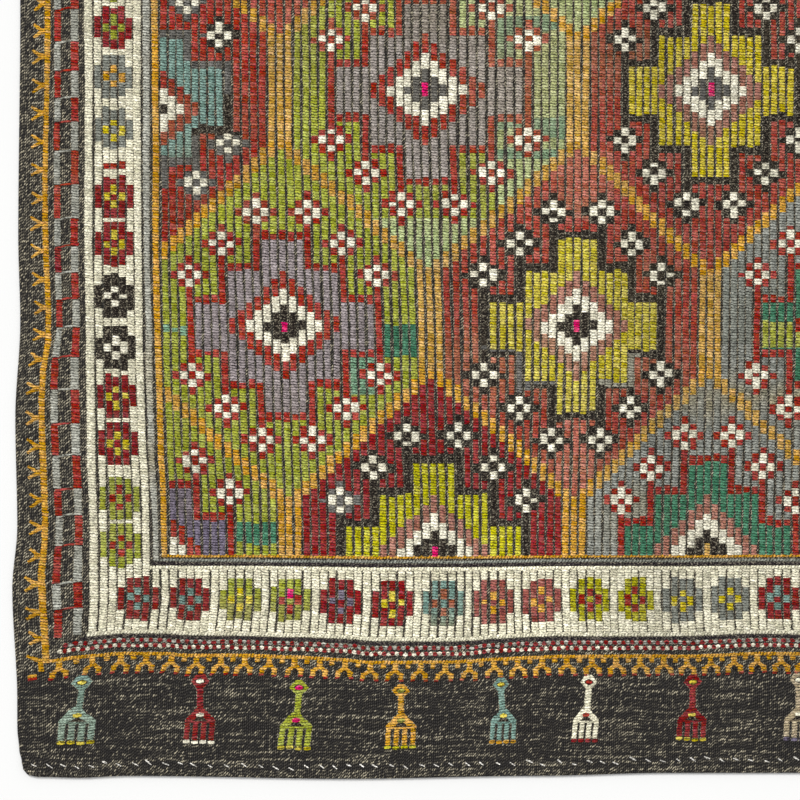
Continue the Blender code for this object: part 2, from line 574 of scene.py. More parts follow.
def wrapped_yarn_tree():
    """Geometry Nodes tree that turns paths into low arches of wrapped yarn."""
    tree = bpy.data.node_groups.new("Wrapped yarn", "GeometryNodeTree")
    face = tree.interface
    face.new_socket("Paths", in_out="INPUT", socket_type="NodeSocketGeometry")
    sides = face.new_socket("Arch sides", in_out="INPUT", socket_type="NodeSocketInt")
    sides.default_value = 4
    finish = face.new_socket("Finish", in_out="INPUT", socket_type="NodeSocketMaterial")
    face.new_socket("Yarn", in_out="OUTPUT", socket_type="NodeSocketGeometry")
    given = node(tree, "NodeGroupInput").outputs
    curve = node(tree, "GeometryNodeMeshToCurve", given["Paths"])
    upright = node(tree, "GeometryNodeSetCurveNormal", curve, mode="Z_UP")
    half = node(tree, "GeometryNodeInputNamedAttribute", "half_width", data_type="FLOAT")
    sized = node(tree, "GeometryNodeSetCurveRadius", upright, Radius=half)
    arc = node(
        tree,
        "GeometryNodeCurveArc",
        mode="RADIUS",
        Resolution=node(tree, MATH, given["Arch sides"], 1.0),
        Radius=1.0,
        Start_Angle=0.0,
        Sweep_Angle=np.pi,
    )
    marked = node(
        tree,
        "GeometryNodeStoreNamedAttribute",
        arc,
        data_type="FLOAT",
        domain="POINT",
        Name="side",
        Value=node(tree, PARTS, node(tree, "GeometryNodeInputPosition")),
    )
    radius = node(tree, "GeometryNodeInputRadius")
    solid = node(tree, "GeometryNodeCurveToMesh", sized, marked, Scale=radius)
    smooth = node(tree, "GeometryNodeSetShadeSmooth", solid, domain="FACE", Shade_Smooth=True)
    real = node(tree, "GeometryNodeRealizeInstances", smooth)
    coloured = node(tree, "GeometryNodeSetMaterial", real, Material=given["Finish"])
    node(tree, "NodeGroupOutput", coloured)
    return tree, sides.identifier, finish.identifier


def yarn_piece(context, name, skein, sides=None, slot="brocade_wool"):
    """A finished piece of yarn work, laid on the rug and riding on its body."""
    colours, sizes, _ = settings(context)
    tree, sides_key, finish_key = wrapped_yarn_tree()
    source = bpy.data.objects.new(name + "_paths", skein.mesh(name + "_paths"))
    context.scene.collection.objects.link(source)
    modifier = source.modifiers.new("Wrapped yarn", "NODES")
    modifier.node_group = tree
    modifier[sides_key] = sides or sizes.arch_sides
    modifier[finish_key] = wool_finish(colours)
    view = context.evaluated_depsgraph_get()
    mesh = bpy.data.meshes.new_from_object(source.evaluated_get(view))
    source.modifiers.remove(modifier)
    bpy.data.objects.remove(source)
    bpy.data.node_groups.remove(tree)
    mesh.name = name
    place = np.zeros(len(mesh.vertices) * 3, np.float32)
    mesh.vertices.foreach_get("co", place)
    place = place.reshape(-1, 3).astype(float) * 1000
    half = take(mesh, "half_width") * 1000
    side = take(mesh, "side")
    u, v = place[:, 0], place[:, 1]
    arch = np.abs(place[:, 2]) / half
    rise = np.where(half > BROAD_HALF, BROAD_RISE, np.minimum(half * 0.5, RIB_RISE))
    # The lift raises all but the feet. Turns slant over a rib, and more over a plied line.
    height = RIB_FOOT + arch * rise + np.where(arch > 0.3, take(mesh, "lift"), 0)
    wrapped = v / TURN + side * 0.3
    plied = take(mesh, "along") / PLY + side * 0.5
    mesh.vertices.foreach_set("co", laid(u, v, height).ravel())
    put(mesh, "turn", "FLOAT", np.where(take(mesh, "twist") > 0.5, plied, wrapped))
    put(mesh, "rim", "FLOAT", (1 - np.abs(side)) * np.maximum(1, half / COMMON_HALF))
    for used in ("half_width", "twist", "lift", "along"):
        mesh.attributes.remove(mesh.attributes[used])
    bake_map(mesh, u, v)
    return finished(name, mesh, slot)


def bake_map(mesh, u, v):
    """A second map that folds a long strip into side-by-side lengths inside the unit square."""
    margin = 6  # millimetres
    gutter = 2
    width = np.ptp(u) + 2 * margin
    long = np.ptp(v) + 2 * margin
    folds = max(1, int(round(np.sqrt(long / width))))
    run = long / folds
    scale = 0.98 / max(run + margin + gutter, folds * (width + gutter))
    loops = np.zeros(len(mesh.loops), np.int32)
    mesh.loops.foreach_get("vertex_index", loops)
    start = np.zeros(len(mesh.polygons), np.int32)
    size = np.zeros(len(mesh.polygons), np.int32)
    mesh.polygons.foreach_get("loop_start", start)
    mesh.polygons.foreach_get("loop_total", size)
    middle = np.add.reduceat(v[loops], start) / size
    fold = np.clip(((middle - v.min()) / run).astype(int), 0, folds - 1)
    fold = np.repeat(fold, size)
    across = margin + u[loops] - u.min() + fold * (width + gutter)
    along = margin + v[loops] - v.min() - fold * run
    inset = 0.004  # of the unit square
    layer = mesh.uv_layers.new(name="OFBake")
    layer.data.foreach_set("uv", (np.stack([across, along], axis=1) * scale + inset).ravel())


def finished(name, mesh, slot):
    """The piece's object, in the scene, riding on the rug's body."""
    mesh.validate()
    piece = bpy.data.objects.new(name, mesh)
    bpy.context.scene.collection.objects.link(piece)
    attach(piece, "root")
    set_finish(piece, slot)
    return piece


# ---------------------------------------------------------------- materials

DRAWN_TURNS = 0.72  # turns drawn for each real one


def rgba(colour, share=1.0):
    """A colour at this share of its brightness, with its alpha."""
    return [part * share for part in colour] + [1.0]


def matt_material(name, roughness):
    """A new matt material; returns it, its tree and its Principled shader."""
    material = bpy.data.materials.new(name)
    material.use_nodes = True
    shader = material.node_tree.nodes["Principled BSDF"]
    shader.inputs["Metallic"].default_value = 0.0
    shader.inputs["IOR"].default_value = 1.54  # keratin of wool, and near enough paint's
    shader.inputs["Roughness"].default_value = roughness
    shader.inputs["Specular IOR Level"].default_value = 0.1
    return material, material.node_tree, shader


def wrapped_wool(colours):
    """Hand-spun wool wound round ribs: matt, each turn a low ridge with a line of painted shade after
    it.

    The turns are drawn 2.7 mm apart: their real 2 mm is finer than the view shows.
    Fibres are 0.03 mm and too fine to show, so they are drawn as streaks of 1 to 2 mm.
    """
    material, tree, shader = matt_material("wool_yarn_wrapped", 0.85)
    shader.inputs["Sheen Weight"].default_value = 0.04
    shader.inputs["Sheen Roughness"].default_value = 0.5
    yarn = node(tree, ATTRIBUTE, attribute_name="yarn").outputs["Color"]
    turn, side, rim, strand = (
        node(tree, ATTRIBUTE, attribute_name=name).outputs["Fac"]
        for name in ("turn", "side", "rim", "strand")
    )
    place = node(tree, "ShaderNodeTexCoord").outputs["Object"]

    # The turns, unevenly spaced, and the line of painted shade between two of them.
    slow = node(tree, NOISE, place, Scale=170.0, Detail=1.0)
    quick = node(tree, NOISE, place, Scale=640.0, Detail=0.0)
    turn = node(tree, MATH, turn, node(tree, MATH, slow, 0.8, -0.4, **TIMES_ADD))
    turn = node(tree, MATH, turn, node(tree, MATH, quick, 0.8, -0.4, **TIMES_ADD))
    turn = node(tree, MATH, turn, DRAWN_TURNS, **TIMES)
    whole = node(tree, MATH, turn, operation="FLOOR")
    part = node(tree, MATH, turn, whole, **MINUS)
    off = node(tree, MATH, node(tree, MATH, part, 2.0, -1.0, **TIMES_ADD), operation="ABSOLUTE")
    line = node(tree, RANGE, off, 0.50, 0.90, 0.0, 1.0, **SMOOTH)

    # Chances: of either edge of a turn, of a turn's dye, and of a row of turns side by side.
    way = node(tree, MATH, node(tree, MATH, side, operation="SIGN"), 3.0, **TIMES)
    which = node(tree, JOIN, whole, node(tree, MATH, strand, 97.0, way, **TIMES_ADD))
    edges = node(tree, CHANCE, which, noise_dimensions="2D")
    which = node(tree, JOIN, whole, node(tree, MATH, strand, 61.0, **TIMES))
    lot = node(tree, CHANCE, which, noise_dimensions="2D")
    row = node(tree, CHANCE, W=whole, noise_dimensions="1D")

    # How deep each line's painted shade is: deepest where a whole row of turns is beaten down.
    region = node(tree, NOISE, place, Scale=22.0, Detail=1.0)
    region = node(tree, RANGE, region, 0.40, 0.56, 0.0, 1.0, **SMOOTH)
    beaten = node(tree, MATH, node(tree, RANGE, row, 0.66, 0.82, 0.0, 1.0, **SMOOTH), region, **TIMES)
    shade_depth = node(tree, MATH, edges, 0.62, 0.42, **TIMES_ADD)
    shade_depth = node(tree, MATH, shade_depth, beaten, operation="MAXIMUM")

    # The dyed wool: fibres, dye lots and the lines' painted shade, which shows less on pale yarns.
    streaks = node(tree, "ShaderNodeVectorMath", place, (520, 900, 900), **TIMES)
    fibre = node(tree, NOISE, streaks, Scale=1.0, Detail=2.0)
    tone = node(tree, MATH, lot, 0.50, 0.79, **TIMES_ADD)
    tone = node(tree, MATH, tone, node(tree, RANGE, fibre, 0.28, 0.72, 0.45, 1.60, **SMOOTH), **TIMES)
    pale = node(tree, "ShaderNodeRGBToBW", yarn)
    loss = node(tree, MATH, line, shade_depth, **TIMES)
    loss = node(tree, MATH, loss, node(tree, RANGE, pale, 0.45, 0.7, 1.0, 0.72, **SMOOTH), **TIMES)
    # The painted shade of the lines darkens the wool's colour.
    tone = node(tree, MATH, tone, node(tree, MATH, loss, -0.95, 1.0, **TIMES_ADD), **TIMES)
    hue = node(tree, MATH, quick, 0.05, 0.475, **TIMES_ADD)
    depth_of_dye = node(tree, MATH, lot, -0.22, 1.12, **TIMES_ADD)
    wool = node(
        tree,
        "ShaderNodeHueSaturation",
        Hue=hue,
        Saturation=depth_of_dye,
        Value=tone,
        Color=yarn,
    )

    # Pale fibres in the darkest, undyed yarns.
    undyed = node(tree, RANGE, pale, 0.02, 0.04, 1.0, 0.0, **SMOOTH)
    undyed = node(tree, MATH, undyed, 0.45, **TIMES)
    undyed = node(tree, MATH, undyed, node(tree, RANGE, fibre, 0.54, 0.68, 0.0, 1.0, **SMOOTH), **TIMES)
    flecked = node(tree, MIX, undyed, data_type="RGBA", A=wool, B=rgba(colours.fleck))

    # How far each turn reaches to the rib's side, past which the gap shows.
    reach = node(tree, MATH, edges, 0.20, 0.70, **TIMES_ADD)
    region = node(tree, NOISE, place, Scale=4.0, Detail=1.0)
    reach = node(tree, MATH, reach, node(tree, RANGE, region, 0.3, 0.7, -0.07, 0.05, **SMOOTH))
    reach = node(tree, MATH, line, -0.17, reach, **TIMES_ADD)
    reach = node(tree, MATH, reach, node(tree, RANGE, pale, 0.45, 0.7, 0.0, 0.05, **SMOOTH))
    out = node(tree, MATH, node(tree, MATH, 1.0, rim, **MINUS), reach, **MINUS)
    fringe = node(tree, RANGE, out, -0.05, 0.03, 0.0, 1.0, **SMOOTH)

    # The gap between two ribs: the dark ground with painted shade over it, and slanting pale specks.
    slant = node(tree, MATH, side, -1.5, turn, **TIMES_ADD)
    dash = node(tree, MATH, node(tree, MATH, slant, operation="FRACT"), -0.5)
    dash = node(tree, MATH, dash, operation="ABSOLUTE")
    dash = node(tree, RANGE, dash, 0.16, 0.36, 1.0, 0.0, **SMOOTH)
    which = node(tree, MATH, slant, operation="FLOOR")
    which = node(tree, JOIN, which, node(tree, MATH, strand, 43.0, way, **TIMES_ADD))
    share = node(tree, CHANCE, which, noise_dimensions="2D")
    share = node(tree, RANGE, share, 0.3, 0.9, 0.10, 0.9, **SMOOTH)
    speck = node(tree, MATH, dash, share, **TIMES)
    # Painted shade: the ground's own colour darkened to about a third, for the shade between two ribs.
    dark = rgba(colours.ground, 0.35)
    shaded_gap = node(tree, MIX, speck, data_type="RGBA", A=dark, B=rgba(colours.fleck))
    colour = node(tree, MIX, fringe, data_type="RGBA", A=flecked, B=shaded_gap)
    tree.links.new(colour.outputs["Result"], shader.inputs["Base Color"])

    # Turns and fibres in relief, none in the gap.
    ridge = node(tree, MATH, 1.0, node(tree, MATH, off, 2.2, operation="POWER"), **MINUS)
    ridge = node(tree, MATH, ridge, node(tree, MATH, 1.0, fringe, **MINUS), **TIMES)
    relief = node(tree, MATH, fibre, 0.5, ridge, **TIMES_ADD)
    bump = node(tree, "ShaderNodeBump", Strength=0.7, Distance=0.0006, Height=relief)
    tree.links.new(bump.outputs[0], shader.inputs["Normal"])
    return material


def ground_wool(colours):
    """Dark undyed wool in plain weave: charcoal with pale fibres that show as slanting flecks.

    The warps are 2 mm apart and the wefts 3 mm, their real size. Some wefts have
    pale fibres in them for part of their length.
    """
    material, tree, shader = matt_material("goat_wool_plain_weave", 0.92)
    loom = node(tree, ATTRIBUTE, attribute_name="loom").outputs["Vector"]
    parts = node(tree, PARTS, loom).outputs

    # The weave: its warps and wefts, each place's chance, and its slant.
    waver = node(tree, NOISE, loom, Scale=0.03, Detail=2.0)
    waver = node(tree, MATH, waver, 1.6, -0.8, **TIMES_ADD)
    column = node(tree, MATH, node(tree, MATH, parts["X"], 2.0, operation="DIVIDE"), waver)
    warp = node(tree, MATH, column, operation="FLOOR")
    row = node(tree, MATH, node(tree, MATH, parts["Y"], 3.0, operation="DIVIDE"), waver)
    row = node(tree, MATH, row, node(tree, CHANCE, W=warp, noise_dimensions="1D"))
    weft = node(tree, MATH, row, operation="FLOOR")
    chance = node(tree, CHANCE, node(tree, JOIN, warp, weft), noise_dimensions="2D")
    tilt = node(tree, PARTS, chance.outputs["Color"])
    tilt = node(tree, MATH, tilt, 0.9, 0.1, **TIMES_ADD)

    # One slanting stroke of yarn at each place, roughened by its fibres.
    fibre = node(tree, NOISE, loom, Scale=0.9, Detail=2.0)
    up = node(tree, MATH, node(tree, MATH, row, operation="FRACT"), -0.5)
    slant = node(tree, MATH, node(tree, MATH, column, operation="FRACT"), -0.5)
    slant = node(tree, MATH, slant, node(tree, MATH, up, tilt, **TIMES), **MINUS)
    slant = node(tree, MATH, slant, node(tree, MATH, fibre, 0.8, -0.4, **TIMES_ADD))
    slant = node(tree, MATH, slant, operation="ABSOLUTE")
    up = node(tree, MATH, up, operation="ABSOLUTE")
    up = node(tree, RANGE, up, 0.22, 0.48, 1.0, 0.1, **SMOOTH)
    stripe = node(tree, RANGE, slant, 0.14, 0.44, 1.0, 0.0, **SMOOTH)
    stripe = node(tree, MATH, stripe, up, **TIMES)

    # Where the pale fibres are: streaks along the wefts, more of them beside the side
    # guards, in the hem's fold and between the hem and the white border.
    across = node(tree, MATH, parts["X"], 0.016, **TIMES)
    along = node(tree, JOIN, across, node(tree, MATH, parts["Y"], 0.3, waver, **TIMES_ADD))
    share = node(tree, NOISE, along, Scale=1.0, Detail=2.0)
    share = node(tree, RANGE, share, 0.47, 0.69, 0.05, 1.0, **SMOOTH)
    side = node(tree, MATH, parts["X"], WIDTH / 2, operation="PINGPONG")
    end = node(tree, MATH, parts["Y"], LENGTH / 2, operation="PINGPONG")
    guard = node(tree, RANGE, side, 60.0, 80.0, 0.2, 0.0, **SMOOTH)
    guard = node(tree, MATH, guard, node(tree, RANGE, end, 100.0, 130.0, 0.0, 1.0, **SMOOTH), **TIMES)
    share = node(tree, MATH, share, guard)
    share = node(tree, MATH, share, node(tree, RANGE, end, 4.0, 10.0, 0.2, 0.0, **SMOOTH))
    share = node(tree, MATH, share, node(tree, RANGE, end, 90.0, 112.0, 0.0, 0.2, **SMOOTH))
    pale = node(tree, MATH, share, node(tree, MATH, chance, 1.5, operation="POWER"), **TIMES)
    stray = node(tree, RANGE, chance, 0.85, 1.0, 0.0, 0.5, **SMOOTH)
    pale = node(tree, MATH, pale, 1.3, stray, use_clamp=True, **TIMES_ADD)

    # Each stroke is dark or pale, with a dark line of painted shade round it.
    dark, line = rgba(colours.ground, 1.8), rgba(colours.ground, 0.4)
    stroke = node(tree, MIX, pale, data_type="RGBA", A=dark, B=rgba(colours.fleck))
    colour = node(tree, MIX, stripe, data_type="RGBA", A=line, B=stroke)
    tree.links.new(colour.outputs["Result"], shader.inputs["Base Color"])
    relief = node(tree, MATH, fibre, 0.4, stripe, **TIMES_ADD)
    bump = node(tree, "ShaderNodeBump", Strength=0.6, Distance=0.0005, Height=relief)
    tree.links.new(bump.outputs[0], shader.inputs["Normal"])
    return material


def floor_paint(colour):
    """Matt white studio floor: even and pale, with hardly any gloss."""
    material, tree, shader = matt_material("matt_white_paint", 0.95)
    place = node(tree, "ShaderNodeTexCoord").outputs["Object"]
    grain = node(tree, NOISE, place, Scale=3.0, Detail=3.0)
    tone = node(tree, RANGE, grain, 0.2, 0.8, 0.99, 1.0, **SMOOTH)
    paint = node(tree, "ShaderNodeVectorMath", colour[:], operation="SCALE", Scale=tone)
    tree.links.new(paint.outputs[0], shader.inputs["Base Color"])
    return material


def wool_finish(colours):
    """The one wrapped-wool material, made once."""
    return bpy.data.materials.get("wool_yarn_wrapped") or wrapped_wool(colours)


# ---------------------------------------------------------------- the chart

CHART_START = 143.0  # v of the first turn of the white border
CHART_TURNS = int(round((LENGTH - 2 * CHART_START) / TURN))

# Dye lots: how many each yarn has along the rug, how long they are, over what length one
# passes into the next, and the columns of the rug with their own values.
LOTS = 120
LOT_LENGTHS = (14, 62)
LOT_BLEND = 8
LOT_COLUMNS = 9
COLUMN_WIDTH = 212
# Brightness of the yarns across the rug: u, share.
SHADE_ACROSS = (
    (0, 0.92), (60, 0.86), (150, 0.90), (200, 0.95), (280, 0.98), (370, 1.00), (410, 0.95),
    (440, 0.95), (480, 1.05), (520, 1.03), (570, 0.95), (610, 0.83), (650, 0.76), (690, 0.85),
    (782, 0.85), (950, 1.0), (1694, 1.0),
)
# Places where the yarns are pulled further towards the fading colour: u, v, half width, half length,
# share of the colour lost.
EXTRA_FADE = ((505, 700, 55, 95, 0.5), (290, 745, 30, 60, 0.3), (1180, 1930, 90, 140, 0.3))
# Yarns whose tone hardly differs from lot to lot.
EVEN_YARNS = ("ivory", "white", "black", "night", "pink", "thread")
# Share of the fading that these yarns take. The others take all of it.
FAST_DYES = dict.fromkeys(EVEN_YARNS + ("grey",), 0.1) | {
    "wine": 0.2, "madder": 0.6, "lime": 0.3, "emerald": 0.3, "ochre": 0.7, "honey": 0.6,
    "brick": 0.6, "mauve": 0.3, "lavender": 0.3, "smoke": 0.3, "steel": 0.3, "yellow": 0.3,
    "leaf": 0.8, "coral": 0.5, "purple": 0.3,
}


class Dyer:
    """Gives each length of yarn its colour, with the dye lots of each yarn along the rug."""

    def __init__(self, colours, fading, seed):
        self.colours = colours
        self.fading = fading
        self.dust = np.array(colours.dust[:])
        self.random = np.random.default_rng(seed)
        self.lots = {}

    def lot(self, name):
        """Ends of one yarn's lots along the rug, and each lot's fading and tone across it."""
        if name not in self.lots:
            ends = np.cumsum(self.random.uniform(*LOT_LENGTHS, LOTS))
            values = self.random.normal(0, 1, (LOTS, LOT_COLUMNS, 2))
            self.lots[name] = (ends, values)
        return self.lots[name]

    def dye(self, name, u, v):
        """Linear colour of this yarn at places on the loom."""
        ends, values = self.lot(name)
        across = np.clip(u / COLUMN_WIDTH, 0, LOT_COLUMNS - 1.001)
        left = across.astype(int)
        share = (across - left)[:, None]
        row = np.clip(np.searchsorted(ends, v), 1, LOTS - 2)
        rise = np.clip((v - ends[row - 1]) / LOT_BLEND, 0, 1)[:, None]
        now, old = (
            values[at, left] * (1 - share) + values[at, left + 1] * share for at in (row, row - 1)
        )
        value = old * (1 - rise) + now * rise
        # Every lot fades a little, and one in three much more. Tones differ by a tenth.
        fade = self.fading * (0.15 + 1.1 * np.maximum(value[:, 0] - 0.3, 0))
        for at_u, at_v, wide, long, loss in EXTRA_FADE:
            fade = fade + loss * np.exp(-(((u - at_u) / wide) ** 2) - ((v - at_v) / long) ** 2)
        fade = np.clip(fade, 0, 0.7)[:, None] * FAST_DYES.get(name, 1)
        tone = np.clip(1 + 0.09 * value[:, 1], 0.75, 1.25)[:, None]
        if name in EVEN_YARNS:
            tone = 1 + (tone - 1) * 0.35
        tone = tone * np.interp(u, *zip(*SHADE_ACROSS))[:, None]
        base = np.array(getattr(self.colours, name)[:])
        return (base * (1 - fade) + self.dust * fade) * tone


def row_place(row):
    """v of a row of cells."""
    if row < len(ROW_PLACES):
        return ROW_PLACES[row]
    first = ROW_PLACES[-1]
    step = (ROW_LAST - first) / (len(CELLS) - len(ROW_PLACES))
    return first + (row - len(ROW_PLACES) + 1) * step


def cell_centres():
    """Rib, v, colourway and slip of every cell."""
    found = []
    for row, colourways in enumerate(CELLS):
        first = ODD_ROW_RIB if row % 2 else EVEN_ROW_RIB
        for place, colourway in enumerate(colourways):
            slip = SLIPS.get((row, place), EVEN)
            found.append((first + place * CELL_RIBS, row_place(row), colourway, slip))
    return found


def painted_field(chart, v):
    """Paints the lattice and each cell's medallion over the field's ribs."""
    ribs = np.arange(FIELD_RIBS)[:, None]
    centres = cell_centres()
    reach = np.stack([abs(ribs - rib) + abs(v - place)[None] / BLOCK for rib, place, *_ in centres])
    order = np.argsort(reach, axis=0)[:2]
    least, next_least = np.take_along_axis(reach, order, 0)
    rows = np.array([place for _, place, *_ in centres])[order]
    field = np.where(rows[0] == rows[1], NUMBER["honey"], NUMBER["ochre"])
    for number, (rib, place, colourway, slip) in enumerate(centres):
        across, along = ribs - rib, v - place
        up = (along - slip[1])[None] / BLOCK
        inner = (across - slip[2], (along - slip[3])[None] / BLOCK)
        cell = medallion(across - slip[0], up, inner, slip[4:], COLOURWAYS[colourway])
        field = np.where((order[0] == number) & (next_least - least > LATTICE), cell, field)
    for low, high, v_low, v_high, meant, used in PATCHES:
        here = (ribs >= low) & (ribs <= high) & (v[None] >= v_low) & (v[None] <= v_high)
        field = np.where(here & (field == NUMBER[meant]), NUMBER[used], field)
    chart[SIDE_RIBS : SIDE_RIBS + FIELD_RIBS] = field


def medallion(across, up, inner, uneven, colourway):
    """One cell: a stepped cross with an outline, a diamond in it and flowers round it.

    across and up are ribs and blocks from its middle, and inner the same from the diamond's.
    """
    lean, longer, higher = uneven
    field, cross, outline, rim, heart, eye = (NUMBER[name] for name in colourway)
    white = NUMBER["white"]
    ribs = np.abs(across - np.where(up > 4, lean, 0))
    blocks = np.abs(np.where(up < 0, np.minimum(up + longer, 0), up))
    cell = np.full(ribs.shape, field, np.int8)
    for margin, yarn in ((1, outline), (0, cross)):
        for wide, tall in ((2, 11), (6, 7), (10, 3)):
            cell = np.where((ribs <= wide + margin) & (blocks <= tall + margin), yarn, cell)
    # The diamond's rings: blocks up at the middle rib, blocks lost a rib, and ribs out.
    ribs_in = np.abs(inner[0])
    blocks_in = np.abs(inner[1])
    for tall, loss, wide, yarn in (
        (6.94, 1, 6, rim),
        (4.65, 0.98, 4, white),
        (2.6, 0.955, 2, heart),
        (0.7, 1, 0, eye),
    ):
        cell = np.where((blocks_in <= tall - loss * ribs_in) & (ribs_in <= wide), yarn, cell)
    for out, height in ((3, 14.5), (7, 10.5), (11, 6.4)):
        lift = np.where(up > 0, higher, higher if out < 11 else 0)
        spot = ribs - out + 2
        line = np.rint(np.abs(up) - height - lift) + 2
        for row, marks in enumerate(FLOWER):
            for column, mark in enumerate(marks):
                if mark != ".":
                    yarn = outline if mark == "d" else white
                    cell = np.where((spot == column) & (line == row), yarn, cell)
    return cell


def rosette(chart, v, column, place, main, accent, lower=None):
    """A rosette five ribs wide on the white border, its middle on this column of the chart."""
    up = (v - place) / BLOCK
    for out in range(-2, 3):
        line = chart[column + out]
        line[np.abs(up) <= (1.5 if abs(out) == 2 else 2.7)] = NUMBER[main]
        if out == 0:
            line[(up > 0.5) & (up <= 1.5)] = NUMBER[accent]
            line[(up < -0.5) & (up >= -1.5)] = NUMBER[lower or accent]
        if abs(out) == 1:
            line[np.abs(up) <= 0.5] = NUMBER[lower or accent]


def whole_chart():
    """Yarn numbers by rib and turn, for the field and the white border."""
    v = CHART_START + TURN * (np.arange(CHART_TURNS) + 0.5)
    end = np.minimum(v, LENGTH - v)
    chart = np.full((COLUMNS, CHART_TURNS), NUMBER["ivory"], np.int8)
    painted_field(chart, v)
    for guard, name, _ in GUARD_RIBS:
        chart[[guard, COLUMNS - 1 - guard]] = NUMBER[name]
    chart[:, end < BORDER_END] = NUMBER["ivory"]
    lines = (end > BORDER_END) & (end < FIELD_START)
    chart[SIDE_RIBS - 2 : COLUMNS - SIDE_RIBS + 2, lines] = NONE
    for guard, name, reach in GUARD_RIBS:
        turning = (end > reach) & (end < FIELD_START)
        for column in (guard, COLUMNS - 1 - guard):
            chart[column, turning] = NUMBER[name]
    # Rosettes stand six ribs apart along the ends, from the sixth rib.
    for number, column in enumerate(range(5, COLUMNS - 3, 6)):
        yarns = END_ROSETTES[number % len(END_ROSETTES)]
        rosette(chart, v, column, ROSETTE_ROW, *yarns)
        rosette(chart, v, COLUMNS - 1 - column, LENGTH - ROSETTE_ROW, *yarns)
    chart[2:5, np.abs(v - MARK_PLACE) <= BLOCK / 2] = NUMBER["madder"]
    # Along the sides their middle is the fourth rib, which is the border's own middle.
    for lap in range(int(LENGTH / SIDE_REPEAT) + 1):
        for first, *yarns in SIDE_ROSETTES:
            place = first + lap * SIDE_REPEAT
            if place <= LENGTH - ROSETTES_END:
                rosette(chart, v, 3, place, *yarns)
                rosette(chart, v, COLUMNS - 4, LENGTH - place, *yarns)
    return chart


def turns_of(line, random):
    """The lengths of one yarn along a rib: first turn, turn after the last, yarn number."""
    changes = np.flatnonzero(np.diff(line)) + 1
    bounds = np.concatenate([[0], changes, [len(line)]])
    numbers = line[bounds[:-1]]
    moved = bounds.copy()
    for i in range(1, len(bounds) - 1):
        if NONE in (numbers[i - 1], numbers[i]):
            continue
        room = min(bounds[i + 1] - bounds[i], bounds[i] - bounds[i - 1])
        if room > 2 and random.random() < 0.3:
            moved[i] += random.choice((-1, 1))
    return [
        (moved[i], moved[i + 1], numbers[i])
        for i in range(len(numbers))
        if numbers[i] != NONE and moved[i + 1] > moved[i]
    ]


def waver(rib, v):
    """Small sideways wander of a rib along its length, in millimetres."""
    return 0.35 * np.sin(v / 41 + rib * 1.7) + 0.25 * np.sin(v / 17.3 + rib * 2.9)


POINT_GAP = 34  # millimetres at most between two points of a rib
EDGE_RIB_MORE = 0.3  # millimetres by which the outermost ribs are wider to each side


def weave_rib(skein, rib, line, sizes):
    """Adds one rib's lengths of yarn to the skein."""
    middle = rib_place(rib)
    for first, after, number in turns_of(line, skein.random):
        name = YARN_NAMES[number]
        start = CHART_START + first * TURN
        end = CHART_START + after * TURN
        points = 2 + int((end - start) / POINT_GAP)
        v = np.linspace(start, end, points)
        plain = name in ("ivory", "white")
        half = (sizes.white_half if plain else sizes.rib_half) * 1000
        if rib in (-SIDE_RIBS, FIELD_RIBS + SIDE_RIBS - 1):
            half = half + EDGE_RIB_MORE
        half = half * (1 + skein.random.normal(0, 0.035, points))
        u = middle + waver(rib, v)
        colour = skein.dyer.dye(name, np.full(points, middle), v)
        colour = colour * (1 + skein.random.normal(0, 0.03))
        skein.add(np.stack([u, v], axis=1), half, colour)


# ---------------------------------------------------------------- operators


def settings(context):
    """The yarn colours, the weave sizes and the studio settings."""
    scene = context.scene
    return scene.rug_colours, scene.rug_sizes, scene.rug_studio


class RUG_OT_ground_cloth(Operator):
    """Makes the ground cloth with its two hems"""

    bl_idname = "rug.ground_cloth"
    bl_label = "Ground cloth"

    def execute(self, context):
        # The points lie closest together at the rounded edges and the hems' slopes.
        edge_u = np.array([0, 0.8, 2, 4, 7, 11])
        edge_v = np.array([0, 0.6, 1.4, 2.5, 4, 6, 9, 11.5, 13, 14, 15.5, 18, 24])
        u = np.concatenate([edge_u, np.linspace(16, WIDTH - 16, 130), WIDTH - edge_u[::-1]])
        v = np.concatenate([edge_v, np.linspace(32, LENGTH - 32, 240), LENGTH - edge_v[::-1]])
        across, along = (grid.ravel() for grid in np.meshgrid(u, v, indexing="ij"))
        low = laid(across, along, 0 * along)
        high = laid(across, along, self.top(across, along))
        index = np.arange(len(u) * len(v)).reshape(len(u), len(v))
        quad = np.stack([index[:-1, :-1], index[1:, :-1], index[1:, 1:], index[:-1, 1:]], axis=-1)
        quad = quad.reshape(-1, 4)
        rim = np.concatenate([index[:, 0], index[-1, 1:], index[-2::-1, -1], index[0, -2:0:-1]])
        after = np.roll(rim, -1)
        wall = np.stack([rim, after, after + index.size, rim + index.size], axis=-1)
        faces = np.concatenate([quad[:, ::-1], quad + index.size, wall])
        mesh = bpy.data.meshes.new("ground_cloth")
        mesh.from_pydata(np.concatenate([low, high]).tolist(), [], faces.tolist())
        loom = np.stack([across, along, 0 * along], axis=1)
        put(mesh, "loom", "FLOAT_VECTOR", np.concatenate([loom, loom + (0, 0, 3)]))
        mesh.shade_smooth()
        mesh.materials.append(ground_wool(settings(context)[0]))
        piece = finished("ground_cloth", mesh, "ground_wool")
        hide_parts(RUG)
        return {"FINISHED"}

    def top(self, u, v):
        """Height of the cloth's upper face: thicker hems, rounded edges, slack selvedges."""
        side = np.minimum(u, WIDTH - u)
        end = np.minimum(v, LENGTH - v)
        hem = np.clip((HEM - end) / HEM_SLOPE, 0, 1)
        inwards = np.clip(np.minimum(side, end) / 3, 0, 1)
        height = GROUND_TOP + (HEM_TOP - GROUND_TOP) * hem
        height = height * (0.5 + 0.5 * np.sqrt(inwards * (2 - inwards)))
        # Between the hems, the cloth under the side guards lies a little lower and uneven.
        slack = 0.12 + 0.10 * np.sin(u / 23 + 2 * np.sin(v / 41))
        return height - np.where(side < 60, slack, 0) * (end > 16) * np.clip(side / 6, 0, 1)


